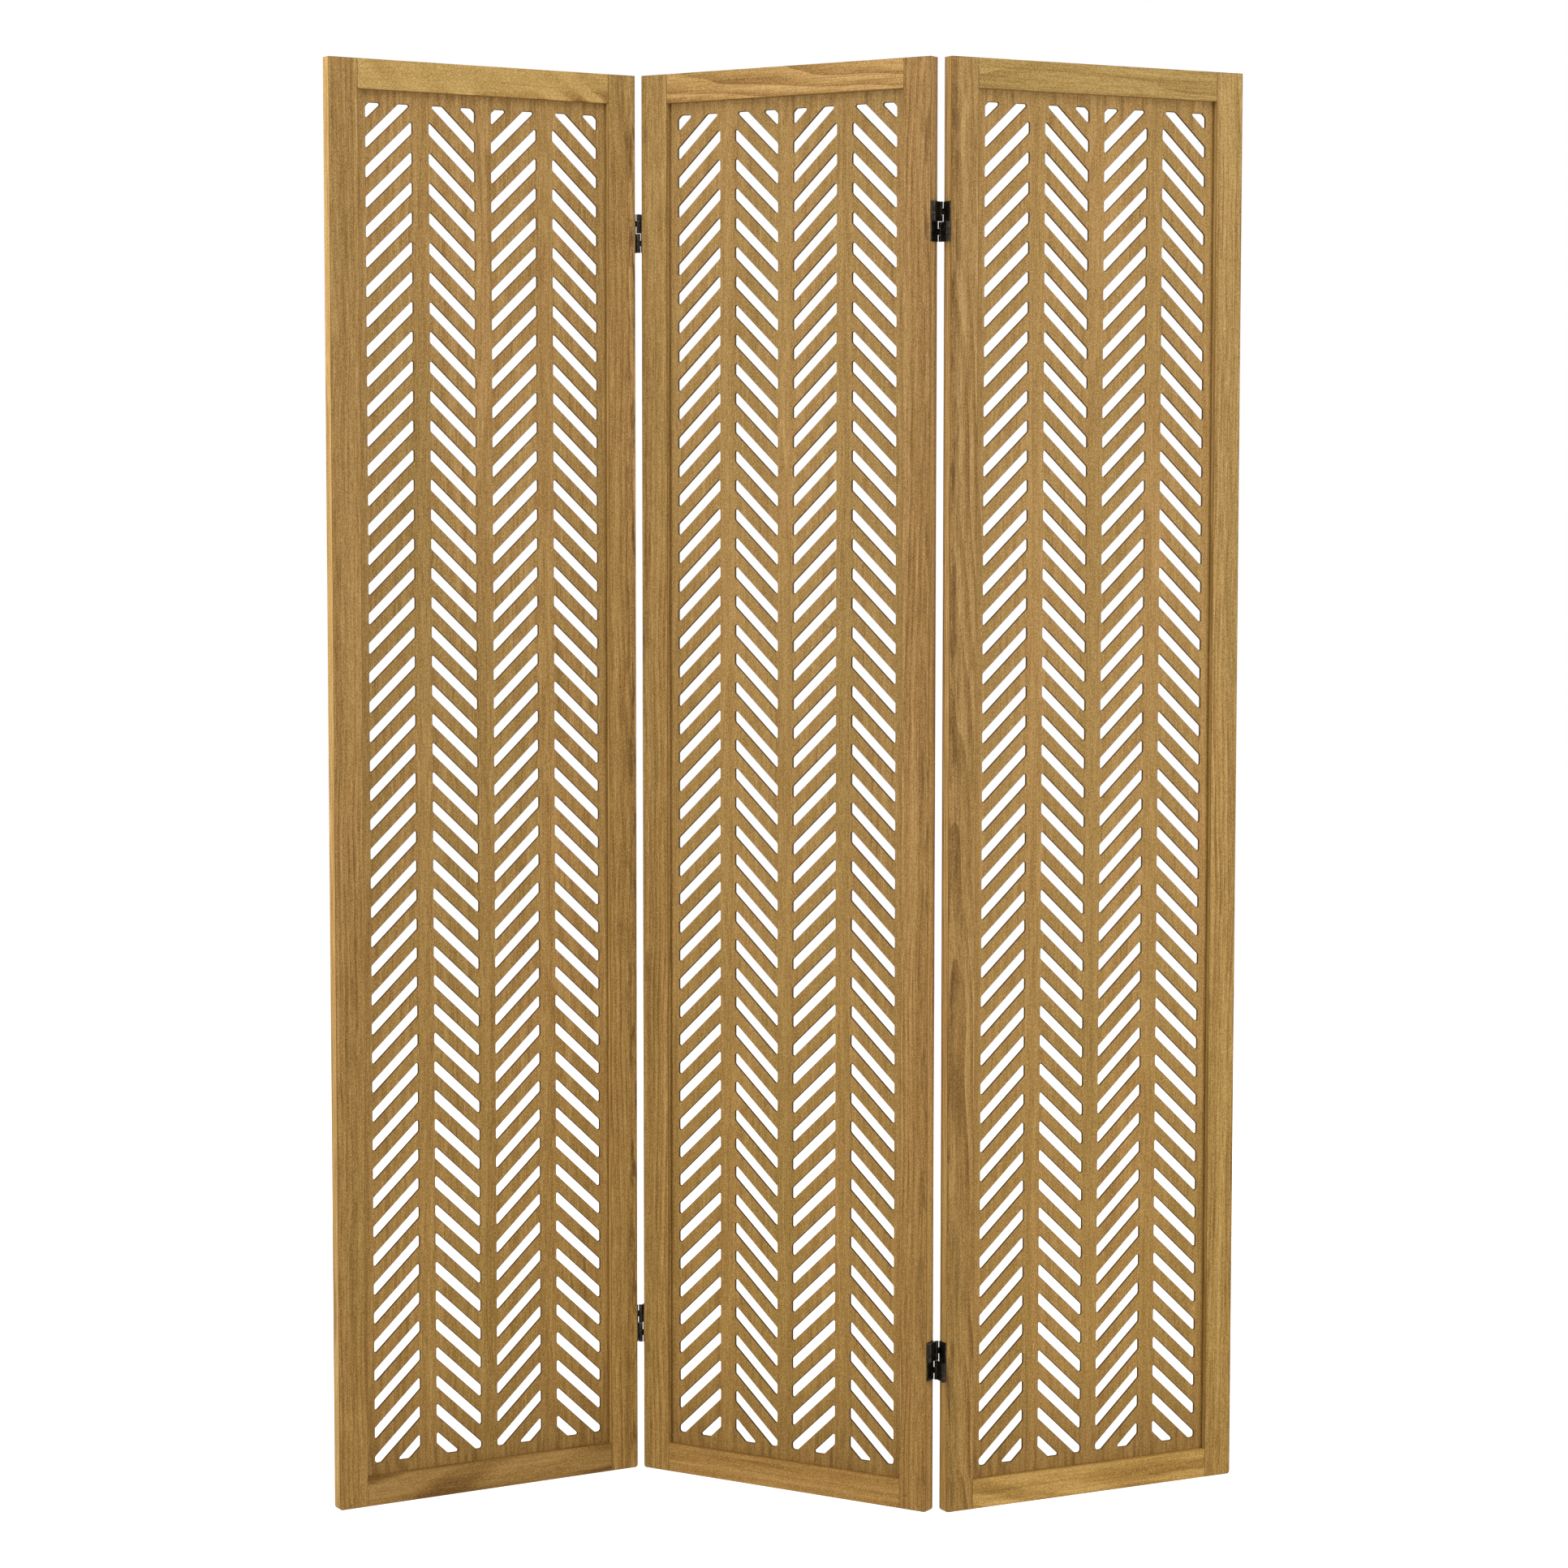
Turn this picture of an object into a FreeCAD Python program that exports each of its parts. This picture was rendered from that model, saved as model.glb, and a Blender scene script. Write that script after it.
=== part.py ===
import FreeCAD, Part
import math
import os

import Sketcher

"""Three-panel wooden folding screen on two-way hinges, built standing in its zig-zag rest pose.

Millimetres, +Z up, floor at Z = 0, X along the width of the standing screen, -Y towards the front.
Every panel is a grooved frame round a thin pierced board. The hinges are modelled once in a flat joint
frame and carried into the fold by the placements at the end.
"""

V = FreeCAD.Vector
UP = V(0, 0, 1)
ACROSS = V(1, 0, 0)
DEPTH = V(0, 1, 0)
HALF_TURN = 180.0
QUARTER_TURN = 90.0
TINY = 1e-6

SIZES = (
    ("panel_height", 1700.0),
    ("panel_width", 400.0),
    ("panel_thickness", 16.0),
    ("stile_width", 36.5),
    ("rail_height", 34.5),
    ("groove_depth", 6.0),
    ("board_thickness", 3.0),
    ("board_play", 0.5),
    ("groove_play", 0.1),
    ("foot_radius", 3.5),
    ("band_margin", 15.0),
    ("side_margin", 12.25),
    ("column_land", 21.5),
    ("slot_end", 14.7),
    ("slot_rise", 55.2),
    ("slot_tip", 1.8),
    ("slot_corner", 3.8),
    ("panel_gap", 8.5),
    ("hinge_height", 46.0),
    ("hinge_low", 180.0),
    ("hinge_high", 188.0),
    ("leaf_thickness", 1.2),
    ("leaf_inset", 0.5),
    ("link_thickness", 1.2),
    ("barrel_play", 0.55),
    ("knuckle_play", 0.4),
    ("pin_radius", 1.2),
    ("pin_play", 0.05),
    ("axis_proud", 0.4),
    ("screw_radius", 1.25),
    ("screw_head_radius", 2.3),
    ("screw_length", 16.0),
    ("screw_tip", 3.0),
    ("cross_depth", 0.7),
    ("cross_width", 0.55),
    ("fold_left", 62.4),
    ("fold_right", 58.8),
)

# Pierced board: four columns of slots, alternately rising and falling, in a band of 46.35 pitches.
COLUMNS = 4
PITCHES_IN_BAND = 46.35
LOWEST_ROW_SHARE = -0.193
ROWS = 48
SMALLEST_SLOT_SHARE = 0.05
SHORTEST_EDGE_SHARE = 0.02
CORNER_ROOM_SHARE = 0.45
SHARP_ANGLE = 60.0

# Hinge: each half of a leaf has three knuckles, the middle one being the leaf's own.
KNUCKLES_PER_HALF = 3
SCREW_SHARES = (0.14, 0.5, 0.86)
CROSS_SPAN_SHARE = 1.1
TIP_SHARE = 0.2
PILOT_SHARE = 1.06

os.makedirs("parts", exist_ok=True)
doc = FreeCAD.newDocument("folding_screen")
sheet = doc.addObject("Spreadsheet::Sheet", "Sizes")
for row, (alias, number) in enumerate(SIZES, start=1):
    sheet.set("A%d" % row, alias)
    sheet.set("B%d" % row, str(number))
    sheet.setAlias("B%d" % row, alias)
doc.recompute()

OPENING_WIDTH = "(Sizes.panel_width - 2 * Sizes.stile_width)"
HOUSED = "(Sizes.groove_depth - Sizes.board_play)"
GROOVE_WIDTH = "(Sizes.board_thickness + 2 * Sizes.groove_play)"
HALF_GAP = "(Sizes.panel_gap / 2)"
AXIS_DEPTH = "(Sizes.panel_thickness / 2 + Sizes.axis_proud)"
BARREL_RADIUS = "(Sizes.panel_gap / 2 - Sizes.leaf_thickness - Sizes.barrel_play)"
LINK_HEIGHT = "(Sizes.hinge_height / 2 - Sizes.knuckle_play)"
KNUCKLE_HEIGHT = "((%s - 2 * Sizes.knuckle_play) / %d)" % (LINK_HEIGHT, KNUCKLES_PER_HALF)
LOWER_KNUCKLE = "(%s + Sizes.knuckle_play)" % KNUCKLE_HEIGHT
UPPER_LINK = "(%s + 2 * Sizes.knuckle_play)" % LINK_HEIGHT
UPPER_KNUCKLE = "(%s + %s)" % (UPPER_LINK, LOWER_KNUCKLE)
HINGE_FEET = {
    "lower": "(Sizes.hinge_low - Sizes.hinge_height / 2)",
    "upper": "(Sizes.panel_height - Sizes.hinge_high - Sizes.hinge_height / 2)",
}

nodes = []


def value(expression):
    """Returns the number an expression on the sheet comes to."""
    result = sheet.evalExpression(expression)
    return float(getattr(result, "Value", result))


def bind(item, sizes):
    """Binds each property of an object to its expression."""
    for name, expression in sizes.items():
        item.setExpression(name, expression)


def keep(item, label, placement):
    """Names a finished piece, stands it in place and lists it for writing."""
    item.Label = label
    item.Placement = placement
    nodes.append(item)
    return item


def shift(x, y, z):
    """Returns a placement that only moves."""
    return FreeCAD.Placement(V(x, y, z), FreeCAD.Rotation())


def turn(axis, degrees):
    """Returns a placement that only turns about an axis through the origin."""
    return FreeCAD.Placement(V(), FreeCAD.Rotation(axis, degrees))


# Sketched bodies


def origin_feature(body, role):
    """Returns the body's own plane or axis with that role."""
    return [feature for feature in body.Origin.OriginFeatures if feature.Role == role][0]


def new_sketch(body, role):
    """Adds a sketch on one of the body's origin planes."""
    sketch = body.newObject("Sketcher::SketchObject", body.Name + "_sketch")
    sketch.AttachmentSupport = [(origin_feature(body, role), "")]
    sketch.MapMode = "FlatFace"
    return sketch


def locate(sketch, kind, axis, curve, point, expression):
    """Fixes a point's distance from a sketch axis, or puts it on the axis where that is zero."""
    distance = value(expression)
    if abs(distance) < TINY:
        sketch.addConstraint(Sketcher.Constraint("PointOnObject", curve, point, axis))
        return
    index = sketch.addConstraint(Sketcher.Constraint(kind, -1, 1, curve, point, distance))
    sketch.setExpression("Constraints[%d]" % index, expression)


def draw_rectangle(sketch, left, bottom, width, height):
    """Draws an upright rectangle held by four expressions."""
    x, y = value(left), value(bottom)
    far_x, far_y = x + value(width), y + value(height)
    corners = [V(x, y, 0), V(far_x, y, 0), V(far_x, far_y, 0), V(x, far_y, 0)]
    base = sketch.GeometryCount
    side, top, back = base + 1, base + 2, base + 3
    lines = [Part.LineSegment(corners[i - 1], corners[i]) for i in (1, 2, 3, 0)]
    sketch.addGeometry(lines, False)
    for first, second in ((base, side), (side, top), (top, back), (back, base)):
        sketch.addConstraint(Sketcher.Constraint("Coincident", first, 2, second, 1))
    for kind, curve in (("Horizontal", base), ("Vertical", side), ("Horizontal", top), ("Vertical", back)):
        sketch.addConstraint(Sketcher.Constraint(kind, curve))
    locate(sketch, "DistanceX", -2, base, 1, left)
    locate(sketch, "DistanceY", -1, base, 1, bottom)
    wide = sketch.addConstraint(Sketcher.Constraint("DistanceX", base, 1, base, 2, value(width)))
    sketch.setExpression("Constraints[%d]" % wide, width)
    tall = sketch.addConstraint(Sketcher.Constraint("DistanceY", side, 1, side, 2, value(height)))
    sketch.setExpression("Constraints[%d]" % tall, height)


def draw_hole(sketch, height, radius):
    """Draws a circle on the sketch's upright axis."""
    circle = Part.Circle(V(0, value(height), 0), UP, value(radius))
    curve = sketch.addGeometry(circle, False)
    sketch.addConstraint(Sketcher.Constraint("PointOnObject", curve, 3, -2))
    locate(sketch, "DistanceY", -1, curve, 3, height)
    index = sketch.addConstraint(Sketcher.Constraint("Radius", curve, value(radius)))
    sketch.setExpression("Constraints[%d]" % index, radius)


def feature(body, kind, sketch, sizes, **options):
    """Adds a sketched feature to a body and recomputes."""
    item = body.newObject("PartDesign::" + kind, body.Name + "_" + kind)
    item.Profile = sketch
    for name, option in options.items():
        setattr(item, name, option)
    bind(item, sizes)
    body.Tip = item
    doc.recompute()
    return item


def make_stile(label, placement, hinged):
    """Builds an upright: outer edge at X = 0, groove along the inner edge, one eased foot corner.

    Args:
        label: node name.
        placement: where the stile stands.
        hinged: whether the outer edge is bored for hinge screws.
    """
    body = doc.addObject("PartDesign::Body", label)
    outline = new_sketch(body, "XY_Plane")
    draw_rectangle(outline, "0", "-Sizes.panel_thickness / 2", "Sizes.stile_width", "Sizes.panel_thickness")
    feature(body, "Pad", outline, {"Length": "Sizes.panel_height"})
    groove = new_sketch(body, "XY_Plane")
    draw_rectangle(groove, "Sizes.stile_width - Sizes.groove_depth", "-%s / 2" % GROOVE_WIDTH,
                   "Sizes.groove_depth", GROOVE_WIDTH)
    last = feature(body, "Pocket", groove, {"Length": "Sizes.panel_height"}, Reversed=True)
    if hinged:
        bores = new_sketch(body, "YZ_Plane")
        for foot in HINGE_FEET.values():
            for share in SCREW_SHARES:
                draw_hole(bores, "%s + %g * Sizes.hinge_height" % (foot, share), "Sizes.screw_radius")
        depth = "%g * (Sizes.screw_length - Sizes.leaf_thickness)" % PILOT_SHARE
        last = feature(body, "Pocket", bores, {"Length": depth}, Reversed=True)
    edges = []
    for number, edge in enumerate(last.Shape.Edges, start=1):
        ends = [vertex.Point for vertex in edge.Vertexes]
        if len(ends) == 2 and all(abs(end.x) < TINY and abs(end.z) < TINY for end in ends):
            edges.append("Edge%d" % number)
    fillet = body.newObject("PartDesign::Fillet", label + "_Fillet")
    fillet.Base = (last, edges)
    bind(fillet, {"Radius": "Sizes.foot_radius"})
    body.Tip = fillet
    return keep(body, label, placement)


def make_rail(label, placement):
    """Builds a rail: outer edge at Z = 0, groove along the inner edge, a stub tenon at each end."""
    body = doc.addObject("PartDesign::Body", label)
    half = OPENING_WIDTH + " / 2"
    shoulder = "(Sizes.rail_height - Sizes.groove_depth)"
    outline = new_sketch(body, "XZ_Plane")
    draw_rectangle(outline, "-" + half, "0", OPENING_WIDTH, "Sizes.rail_height")
    feature(body, "Pad", outline, {"Length": "Sizes.panel_thickness"}, SideType="Symmetric")
    tenon = new_sketch(body, "XZ_Plane")
    tenon_reach = "%s + 2 * %s" % (OPENING_WIDTH, HOUSED)
    draw_rectangle(tenon, "-%s - %s" % (half, HOUSED), "0", tenon_reach, shoulder)
    feature(body, "Pad", tenon, {"Length": "Sizes.board_thickness"}, SideType="Symmetric")
    groove = new_sketch(body, "XZ_Plane")
    draw_rectangle(groove, "-" + half, shoulder, OPENING_WIDTH, "Sizes.groove_depth")
    feature(body, "Pocket", groove, {"Length": GROOVE_WIDTH}, SideType="Symmetric")
    return keep(body, label, placement)


# Pierced board


def clip(points, height, keep_above):
    """Cuts a polygon with a level line and returns the part above or below it."""
    sign = 1 if keep_above else -1
    result = []
    for start, end in zip(points, points[1:] + points[:1]):
        inside, next_inside = sign * (start[1] - height) >= 0, sign * (end[1] - height) >= 0
        if inside:
            result.append(start)
        if inside != next_inside:
            share = (height - start[1]) / (end[1] - start[1])
            result.append((start[0] + share * (end[0] - start[0]), height))
    return result


def without_short_edges(points, shortest):
    """Drops the points of a polygon that lie closer than that to the point before them."""
    pairs = zip(points[-1:] + points, points)
    return [point for before, point in pairs if math.dist(before, point) > shortest]


def area(points):
    """Returns the area of a polygon."""
    pairs = zip(points, points[1:] + points[:1])
    return abs(sum(start[0] * end[1] - end[0] * start[1] for start, end in pairs)) / 2


def rounded_wire(points, depth, tip, blunt):
    """Returns a closed wire round a polygon in an upright plane, with its corners rounded.

    A corner between edges too short for its radius takes the largest rounding that they leave room for.

    Args:
        points: the corners, as pairs of X and Z.
        depth: where the plane stands.
        tip: radius of the sharp corners.
        blunt: radius of the other corners.
    """
    corners = [V(x, depth, z) for x, z in points]
    arcs = []
    for before, corner, after in zip(corners[-1:] + corners, corners, corners[1:] + corners[:1]):
        back, ahead = before - corner, after - corner
        room = CORNER_ROOM_SHARE * min(back.Length, ahead.Length)
        back.normalize()
        ahead.normalize()
        half = back.getAngle(ahead) / 2
        radius = tip if math.degrees(2 * half) < SHARP_ANGLE else blunt
        reach = min(radius / math.tan(half), room)
        rounding = reach * math.tan(half)
        middle = corner + (back + ahead).normalize() * (rounding / math.sin(half) - rounding)
        arcs.append((corner + back * reach, middle, corner + ahead * reach))
    edges = []
    for here, following in zip(arcs, arcs[1:] + arcs[:1]):
        edges.append(Part.Arc(*here).toShape())
        edges.append(Part.makeLine(here[2], following[0]))
    return Part.Wire(edges)


def slot_outlines():
    """Returns the corner points of every slot, cut off level at the ends of the band."""
    foot = value("Sizes.rail_height + Sizes.band_margin")
    top = value("Sizes.panel_height") - foot
    pitch = (top - foot) / PITCHES_IN_BAND
    band = value(OPENING_WIDTH + " - 2 * Sizes.side_margin")
    land, end, rise = value("Sizes.column_land"), value("Sizes.slot_end"), value("Sizes.slot_rise")
    width = (band - (COLUMNS - 1) * land) / COLUMNS
    outlines = []
    for column in range(COLUMNS):
        left = -band / 2 + column * (width + land)
        right = left + width
        climb = rise / 2 if column % 2 == 0 else -rise / 2
        for row in range(ROWS):
            middle = foot + (LOWEST_ROW_SHARE + row) * pitch
            low, high = middle - end / 2, middle + end / 2
            lower = [(left, low - climb), (right, low + climb)]
            upper = [(right, high + climb), (left, high - climb)]
            points = clip(clip(lower + upper, foot, True), top, False)
            points = without_short_edges(points, SHORTEST_EDGE_SHARE * end)
            if len(points) > 2 and area(points) > SMALLEST_SLOT_SHARE * end * width:
                outlines.append(points)
    return outlines


def board_shape():
    """Returns the pierced board, standing in the panel's own frame."""
    half = value("%s / 2 + %s" % (OPENING_WIDTH, HOUSED))
    low = value("Sizes.rail_height - " + HOUSED)
    high = value("Sizes.panel_height") - low
    front = -value("Sizes.board_thickness / 2")
    edge = ((-half, low), (half, low), (half, high), (-half, high), (-half, low))
    wires = [Part.makePolygon([V(x, front, z) for x, z in edge])]
    tip, blunt = value("Sizes.slot_tip"), value("Sizes.slot_corner")
    wires += [rounded_wire(points[::-1], front, tip, blunt) for points in slot_outlines()]
    return Part.Face(wires).extrude(DEPTH * value("Sizes.board_thickness"))


def make_board(label, shape, placement):
    """Adds one pierced board."""
    board = doc.addObject("Part::Feature", label)
    board.Shape = shape
    return keep(board, label, placement)


# Hinge pieces, in a joint frame with both panels flat: the gap's middle at X = 0, Z = 0 at the hinge's foot


def box(name, corner, sizes):
    """Adds a box whose corner and sizes are expressions."""
    item = doc.addObject("Part::Box", name)
    bind(item, dict(zip(("Placement.Base.x", "Placement.Base.y", "Placement.Base.z"), corner)))
    bind(item, dict(zip(("Length", "Width", "Height"), sizes)))
    return item


def upright(name, depth, foot, radius, height):
    """Adds a standing cylinder at the middle of the gap."""
    item = doc.addObject("Part::Cylinder", name)
    bind(item, {"Placement.Base.y": depth, "Placement.Base.z": foot, "Radius": radius, "Height": height})
    return item


def lying_cone(name, reach, height, first, last, length):
    """Adds a cone lying along -X from a point at that reach left of the gap's middle."""
    item = doc.addObject("Part::Cone", name)
    item.Placement = turn(DEPTH, -QUARTER_TURN)
    bind(item, {"Placement.Base.x": "-" + reach, "Placement.Base.z": height})
    bind(item, {"Radius1": first, "Radius2": last, "Height": length})
    return item


def gather(kind, name, items):
    """Joins items as a fusion or as a compound of separate solids."""
    item = doc.addObject(kind, name)
    if kind == "Part::Compound":
        item.Links = items
    else:
        item.Shapes = items
    return item


def subtract(name, base, tools):
    """Cuts a group of tools from a base."""
    item = doc.addObject("Part::Cut", name)
    item.Base = base
    item.Tool = gather("Part::Compound", name + "_tools", tools)
    return item


LEAF_WIDTH = "(Sizes.panel_thickness - 2 * Sizes.leaf_inset)"
LEAF_FACE = "(%s - Sizes.leaf_thickness)" % HALF_GAP
FRONT_STRAP = "(%s - %s)" % (BARREL_RADIUS, AXIS_DEPTH)
BACK_STRAP = "(%s - %s)" % (AXIS_DEPTH, BARREL_RADIUS)


def make_leaf(label, placement):
    """Builds a leaf for the left-hand stile: knuckles at the upper front and at the lower back."""
    plate = box(label + "_plate", ("-" + HALF_GAP, "-%s / 2" % LEAF_WIDTH, "0"),
                ("Sizes.leaf_thickness", LEAF_WIDTH, "Sizes.hinge_height"))
    solids, bores = [plate], []
    knuckles = (("front", "-" + AXIS_DEPTH, FRONT_STRAP + " - Sizes.leaf_thickness", UPPER_KNUCKLE),
                ("back", AXIS_DEPTH, BACK_STRAP, LOWER_KNUCKLE))
    for side, axis, strap, foot in knuckles:
        solids.append(box(label + "_strap_" + side, ("-" + HALF_GAP, strap, foot),
                          (HALF_GAP, "Sizes.leaf_thickness", KNUCKLE_HEIGHT)))
        solids.append(upright(label + "_barrel_" + side, axis, foot, BARREL_RADIUS, KNUCKLE_HEIGHT))
        bores.append(upright(label + "_bore_" + side, axis, foot, "Sizes.pin_radius + Sizes.pin_play",
                             KNUCKLE_HEIGHT))
    for number, share in enumerate(SCREW_SHARES):
        height = "%g * Sizes.hinge_height" % share
        bores.append(lying_cone("%s_sink_%d" % (label, number), LEAF_FACE, height, "Sizes.screw_head_radius",
                                "Sizes.screw_radius", "Sizes.leaf_thickness"))
    leaf = subtract(label, gather("Part::MultiFuse", label + "_solid", solids), bores)
    return keep(leaf, label, placement)


def make_link(label, placement):
    """Builds a half-height link: two knuckles on the front axis, two on the back axis."""
    plate = box(label + "_plate", ("-Sizes.link_thickness / 2", "-" + AXIS_DEPTH, "0"),
                ("Sizes.link_thickness", "2 * " + AXIS_DEPTH, LINK_HEIGHT))
    notch_depth = "(2 * %s + Sizes.knuckle_play)" % BARREL_RADIUS
    notch_size = ("Sizes.panel_gap", notch_depth, KNUCKLE_HEIGHT + " + 2 * Sizes.knuckle_play")
    reach = "(%s + %s)" % (AXIS_DEPTH, BARREL_RADIUS)
    back_start = "%s - %s" % (reach, notch_depth)
    notches = [
        box(label + "_notch_front", ("-" + HALF_GAP, "-" + reach, KNUCKLE_HEIGHT), notch_size),
        box(label + "_notch_back", ("-" + HALF_GAP, back_start, KNUCKLE_HEIGHT), notch_size),
    ]
    web = subtract(label + "_web", plate, notches)
    solids, bores = [web], []
    for side, axis in (("front", "-" + AXIS_DEPTH), ("back", AXIS_DEPTH)):
        for level, foot in (("low", "0"), ("high", "%s - %s" % (LINK_HEIGHT, KNUCKLE_HEIGHT))):
            name = "%s_barrel_%s_%s" % (label, side, level)
            solids.append(upright(name, axis, foot, BARREL_RADIUS, KNUCKLE_HEIGHT))
        bores.append(upright(label + "_bore_" + side, axis, "0", "Sizes.pin_radius", LINK_HEIGHT))
    link = subtract(label, gather("Part::MultiFuse", label + "_solid", solids), bores)
    return keep(link, label, placement)


def make_pins(label, placement):
    """Builds the front and the back pin of one link."""
    sides = (("front", "-" + AXIS_DEPTH), ("back", AXIS_DEPTH))
    pins = [upright(label + "_" + side, axis, "0", "Sizes.pin_radius", LINK_HEIGHT) for side, axis in sides]
    return keep(gather("Part::Compound", label, pins), label, placement)


def make_screws(label, placement):
    """Builds the countersunk screws of one leaf, heads flush with the leaf."""
    screws = []
    span = "%g * Sizes.screw_head_radius" % CROSS_SPAN_SHARE
    shank = "(Sizes.screw_length - Sizes.leaf_thickness - Sizes.screw_tip)"
    for number, share in enumerate(SCREW_SHARES):
        name = "%s_%d" % (label, number)
        height = "%g * Sizes.hinge_height" % share
        head = lying_cone(name + "_head", LEAF_FACE, height, "Sizes.screw_head_radius", "Sizes.screw_radius",
                          "Sizes.leaf_thickness")
        body = doc.addObject("Part::Cylinder", name + "_shank")
        body.Placement = turn(DEPTH, -QUARTER_TURN)
        bind(body, {"Placement.Base.x": "-" + HALF_GAP, "Placement.Base.z": height})
        bind(body, {"Radius": "Sizes.screw_radius", "Height": shank})
        tip = lying_cone(name + "_tip", "(%s + %s)" % (HALF_GAP, shank), height, "Sizes.screw_radius",
                         "%g * Sizes.screw_radius" % TIP_SHARE, "Sizes.screw_tip")
        start = "-%s - Sizes.cross_depth" % LEAF_FACE
        long_half, thin_half = "(%s) / 2" % span, "Sizes.cross_width / 2"
        cross = [
            box(name + "_cross_level", (start, "-" + long_half, "%s - %s" % (height, thin_half)),
                ("Sizes.cross_depth", span, "Sizes.cross_width")),
            box(name + "_cross_upright", (start, "-" + thin_half, "%s - %s" % (height, long_half)),
                ("Sizes.cross_depth", "Sizes.cross_width", span)),
        ]
        solid = gather("Part::MultiFuse", name + "_solid", [head, body, tip])
        screw = doc.addObject("Part::Cut", name)
        screw.Base = solid
        screw.Tool = gather("Part::MultiFuse", name + "_cross", cross)
        screws.append(screw)
    return keep(gather("Part::Compound", label, screws), label, placement)


# Where the panels stand: the centre panel first, the outer two swung about their hinge axes


def swing(x, y, degrees):
    """Returns a turn about an upright axis through a point."""
    return shift(x, y, 0).multiply(turn(UP, degrees)).multiply(shift(-x, -y, 0))


reach = value("Sizes.panel_width / 2 + Sizes.panel_gap / 2")
step = value("Sizes.panel_width + Sizes.panel_gap")
axis_depth = value(AXIS_DEPTH)
centre = turn(UP, -value("Sizes.fold_left") / 2)
left_swing = swing(-reach, -axis_depth, value("Sizes.fold_left"))
right_swing = swing(reach, axis_depth, value("Sizes.fold_right"))
panels = {
    "left": centre.multiply(left_swing).multiply(shift(-step, 0, 0)),
    "centre": centre,
    "right": centre.multiply(right_swing).multiply(shift(step, 0, 0)),
}

# The standing origin is the middle of the floor rectangle round the panels and the hinge barrels.
half_width, half_depth = value("Sizes.panel_width / 2"), value("Sizes.panel_thickness / 2")
barrel = value(BARREL_RADIUS)
hinge_sides = {"left": (reach,), "centre": (-reach, reach), "right": (-reach,)}
low_x, high_x, low_y, high_y = [], [], [], []
for side, panel in panels.items():
    spots = [(x, y, 0) for x in (-half_width, half_width) for y in (-half_depth, half_depth)]
    spots += [(x, y, barrel) for x in hinge_sides[side] for y in (-axis_depth, axis_depth)]
    for x, y, radius in spots:
        spot = panel.multVec(V(x, y, 0))
        low_x.append(spot.x - radius)
        high_x.append(spot.x + radius)
        low_y.append(spot.y - radius)
        high_y.append(spot.y + radius)
middle = shift(-(min(low_x) + max(high_x)) / 2, -(min(low_y) + max(high_y)) / 2, 0)
panels = {side: middle.multiply(panel) for side, panel in panels.items()}

height = value("Sizes.panel_height")
board = board_shape()
for side, panel in panels.items():
    name = side + "_panel_"
    left_end = panel.multiply(shift(-half_width, 0, 0))
    right_end = panel.multiply(shift(half_width, 0, 0)).multiply(turn(UP, HALF_TURN))
    make_stile(name + "left_stile", left_end, side != "left")
    make_stile(name + "right_stile", right_end, side != "right")
    make_rail(name + "bottom_rail", panel)
    make_rail(name + "top_rail", panel.multiply(shift(0, 0, height)).multiply(turn(ACROSS, HALF_TURN)))
    make_board(name + "fretwork", board, panel)

# At both joints the upper link stays with the centre panel and the lower link with the outer panel.
joints = {"left": ("left", "centre", "left"), "right": ("centre", "right", "right")}
for joint, (left_side, right_side, outer_side) in joints.items():
    for level, foot_size in HINGE_FEET.items():
        foot = value(foot_size)
        name = "%s_%s_hinge_" % (joint, level)
        from_left = panels[left_side].multiply(shift(reach, 0, foot))
        from_right = panels[right_side].multiply(shift(-reach, 0, foot))
        turned = from_right.multiply(turn(UP, HALF_TURN))
        from_centre = from_left if left_side == "centre" else from_right
        from_outer = from_left if left_side == outer_side else from_right
        raised = from_centre.multiply(shift(0, 0, value(UPPER_LINK)))
        make_leaf(name + "left_leaf", from_left)
        make_leaf(name + "right_leaf", turned)
        make_link(name + "upper_link", raised)
        make_link(name + "lower_link", from_outer)
        make_pins(name + "upper_pins", raised)
        make_pins(name + "lower_pins", from_outer)
        make_screws(name + "left_screws", from_left)
        make_screws(name + "right_screws", turned)

doc.recompute()
for item in doc.Objects:
    if "Invalid" in item.State or "Error" in item.State:
        raise RuntimeError("%s did not compute" % item.Name)
if not board.isValid():
    raise RuntimeError("the pierced board has no valid shape")
for item in nodes:
    if item.Shape.isNull() or not (item.Shape.isPartner(board) or item.Shape.isValid()):
        raise RuntimeError("%s has no valid shape" % item.Label)
    item.Shape.exportStep("parts/%s.step" % item.Label)
print("%d pieces written" % len(nodes))
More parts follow.
